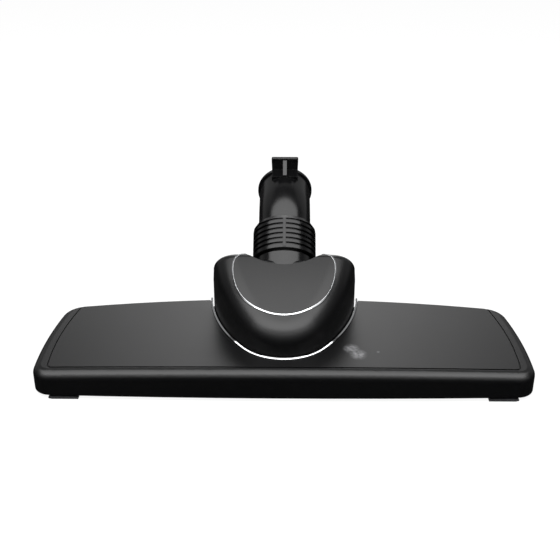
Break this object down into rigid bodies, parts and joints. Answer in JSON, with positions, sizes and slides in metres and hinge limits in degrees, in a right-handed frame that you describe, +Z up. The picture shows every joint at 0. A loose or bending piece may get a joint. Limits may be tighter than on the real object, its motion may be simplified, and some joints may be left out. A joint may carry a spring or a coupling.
{
  "type": "vacuum floor nozzle",
  "caption": "Wide black vacuum floor nozzle with a tilting domed neck, chrome edge trims, a ribbed swivel collar and a bent tube socket.",
  "frame": {"origin": "on the floor, under the middle of the nozzle's box", "axes": "+X across the head to its right end, +Y back from the head to the tube, +Z up from the floor"},
  "size_m": [0.3548, 0.1666, 0.1235],
  "materials": {
    "gloss_black_shell": "polished moulded surface",
    "satin_black_panel": "satin",
    "matt_black_sole": "fine matt",
    "chrome_trim": "mirror",
    "steel_pin": "ground",
    "black_rubber": "soft matt",
    "bristle": "bristle",
    "lint_velvet": "short pile",
    "grey_wheel": "fine matt"
  },
  "bodies": {
    "root": {"base_plate": "matt_black_sole", "top_cover": "gloss_black_shell", "cover_panel": "satin_black_panel", "cutout_trim": "chrome_trim", "mouth_seal": "black_rubber", "front_brush_strip": "bristle", "right_rear_brush_strip": "bristle", "left_rear_brush_strip": "bristle", "right_lint_strip": "lint_velvet", "left_lint_strip": "lint_velvet", "cover_screws": "steel_pin", "left_axle": "steel_pin", "right_axle": "steel_pin", "left_front_glide": "grey_wheel", "right_front_glide": "grey_wheel", "left_stop_pad": "black_rubber", "right_stop_pad": "black_rubber"},
    "neck": {"neck_hood": "gloss_black_shell", "neck_shield": "satin_black_panel", "neck_trim": "chrome_trim", "neck_stub": "gloss_black_shell", "tube_washer": "black_rubber", "swivel_collar": "gloss_black_shell", "left_pivot_pin": "steel_pin", "right_pivot_pin": "steel_pin"},
    "tube": {"swivel_tube": "gloss_black_shell"},
    "left_wheel_body": {"left_wheel": "grey_wheel"},
    "right_wheel_body": {"right_wheel": "grey_wheel"}
  },
  "joints": [
    {"name": "neck_tilt", "type": "hinge", "parent": "root", "child": "neck", "pos_m": [0, -0.03185, 0.036], "axis": [1, 0, 0], "range_deg": [0, 40]},
    {"name": "tube_swivel", "type": "hinge", "parent": "neck", "child": "tube", "pos_m": [0, 0.02515, 0.0686], "axis": [0, 0.7997, 0.6004], "continuous": true},
    {"name": "left_wheel_spin", "type": "hinge", "parent": "root", "child": "left_wheel_body", "pos_m": [-0.092, -0.00135, 0.0075], "axis": [1, 0, 0], "continuous": true},
    {"name": "right_wheel_spin", "type": "hinge", "parent": "root", "child": "right_wheel_body", "pos_m": [0.092, -0.00135, 0.0075], "axis": [1, 0, 0], "continuous": true}
  ]
}
